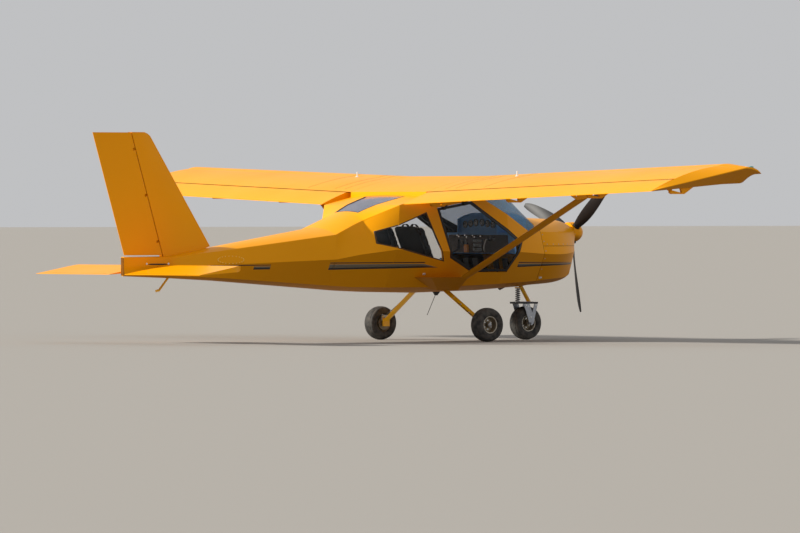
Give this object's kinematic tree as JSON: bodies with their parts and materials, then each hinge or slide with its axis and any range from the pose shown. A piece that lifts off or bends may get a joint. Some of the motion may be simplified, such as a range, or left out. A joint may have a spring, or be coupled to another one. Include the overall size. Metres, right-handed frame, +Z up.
{
  "type": "ultralight aircraft",
  "caption": "High-wing strut-braced two-seat ultralight aircraft on a tricycle gear, with tractor propeller, full-span flaperons, swept fin and all-moving tailplane.",
  "frame": {"origin": "on the ground under the middle of the length and span", "axes": "+X forward along the thrust line, +Y to port, +Z up"},
  "size_m": [6.3, 9.45, 2.1449],
  "materials": {
    "yellow_paint": "gloss",
    "clear_pane": "gloss",
    "door_seal": "satin",
    "tyre_rubber": "matte",
    "wheel_alloy": "satin",
    "fork_grey": "satin",
    "steel_black": "satin",
    "leg_yellow": "gloss",
    "bare_steel": "satin",
    "engine_metal": "matte",
    "blade_composite": "satin",
    "panel_grey": "matte",
    "seat_fabric": "matte",
    "floor_grey": "matte"
  },
  "bodies": {
    "airframe": {"cabin_shell": "yellow_paint", "strut_fairings": "yellow_paint", "cabin_floor": "floor_grey", "roof_centre": "yellow_paint", "windshield": "clear_pane", "quarter_windows": "clear_pane", "skylight": "clear_pane", "tail_cone": "yellow_paint", "cowl_upper": "yellow_paint", "cowl_lower": "yellow_paint", "engine_block": "engine_metal", "exhaust_pipe": "steel_black", "instrument_panel": "panel_grey", "seats": "seat_fabric", "control_stick": "steel_black", "pedals": "steel_black", "door_hinges": "steel_black", "tail_skid": "leg_yellow", "belly_aerial": "steel_black", "wing_left": "yellow_paint", "wing_right": "yellow_paint", "wing_tip_left": "yellow_paint", "wing_tip_right": "yellow_paint", "flaperon_brackets": "yellow_paint", "lift_strut_left": "yellow_paint", "lift_strut_right": "yellow_paint", "gear_leg_left": "leg_yellow", "gear_leg_right": "leg_yellow", "brake_calipers": "fork_grey", "nose_bearing": "bare_steel", "fin": "yellow_paint"},
    "propeller": {"propeller": "blade_composite", "spinner": "yellow_paint"},
    "main_wheel_left": {"tyre_left": "tyre_rubber", "rim_left": "wheel_alloy"},
    "main_wheel_right": {"tyre_right": "tyre_rubber", "rim_right": "wheel_alloy"},
    "nose_gear": {"nose_leg": "leg_yellow", "nose_fork": "fork_grey", "nose_shock": "steel_black"},
    "nose_wheel": {"nose_tyre": "tyre_rubber", "nose_rim": "wheel_alloy"},
    "door_left": {"door_left": "door_seal", "door_glass_left": "clear_pane"},
    "door_right": {"door_right": "door_seal", "door_glass_right": "clear_pane"},
    "flaperon_left": {"flaperon_left": "yellow_paint"},
    "flaperon_right": {"flaperon_right": "yellow_paint"},
    "rudder": {"rudder": "yellow_paint"},
    "stabilator": {"stabilator": "yellow_paint"}
  },
  "joints": [
    {"name": "propeller_spin", "type": "hinge", "parent": "airframe", "child": "propeller", "pos_m": [3.016, 0, 1.122], "axis": [1, 0, 0], "continuous": true},
    {"name": "wheel_left_spin", "type": "hinge", "parent": "airframe", "child": "main_wheel_left", "pos_m": [1.181, 0.907, 0.175], "axis": [0, 1, 0], "continuous": true},
    {"name": "wheel_right_spin", "type": "hinge", "parent": "airframe", "child": "main_wheel_right", "pos_m": [1.181, -0.907, 0.175], "axis": [0, 1, 0], "continuous": true},
    {"name": "nose_steer", "type": "hinge", "parent": "airframe", "child": "nose_gear", "pos_m": [2.331, 0, 0.57], "axis": [-0.2079, 0, 0.9781], "range_deg": [-20, 20]},
    {"name": "nose_wheel_spin", "type": "hinge", "parent": "nose_gear", "child": "nose_wheel", "pos_m": [2.397, 0, 0.175], "axis": [0, 1, 0], "continuous": true},
    {"name": "door_left_open", "type": "hinge", "parent": "airframe", "child": "door_left", "pos_m": [0.751, 0.63235, 1.378], "axis": [0.9872, -0.0351, 0.1555], "range_deg": [0, 80]},
    {"name": "door_right_open", "type": "hinge", "parent": "airframe", "child": "door_right", "pos_m": [0.751, -0.63235, 1.378], "axis": [-0.9872, -0.0351, -0.1555], "range_deg": [0, 80]},
    {"name": "flaperon_left_turn", "type": "hinge", "parent": "airframe", "child": "flaperon_left", "pos_m": [0.58909, 0.74, 1.42241], "axis": [0.0398, 0.9986, 0.0334], "range_deg": [-30, 15]},
    {"name": "flaperon_right_turn", "type": "hinge", "parent": "airframe", "child": "flaperon_right", "pos_m": [0.58909, -0.74, 1.42241], "axis": [-0.0398, 0.9986, -0.0334], "range_deg": [-30, 15]},
    {"name": "rudder_turn", "type": "hinge", "parent": "airframe", "child": "rudder", "pos_m": [-2.319, 0, 0.875], "axis": [-0.2995, 0, 0.9541], "range_deg": [-25, 25]},
    {"name": "stabilator_turn", "type": "hinge", "parent": "airframe", "child": "stabilator", "pos_m": [-2.379, 0, 0.764], "axis": [0, 1, 0], "range_deg": [-5, 20]}
  ]
}
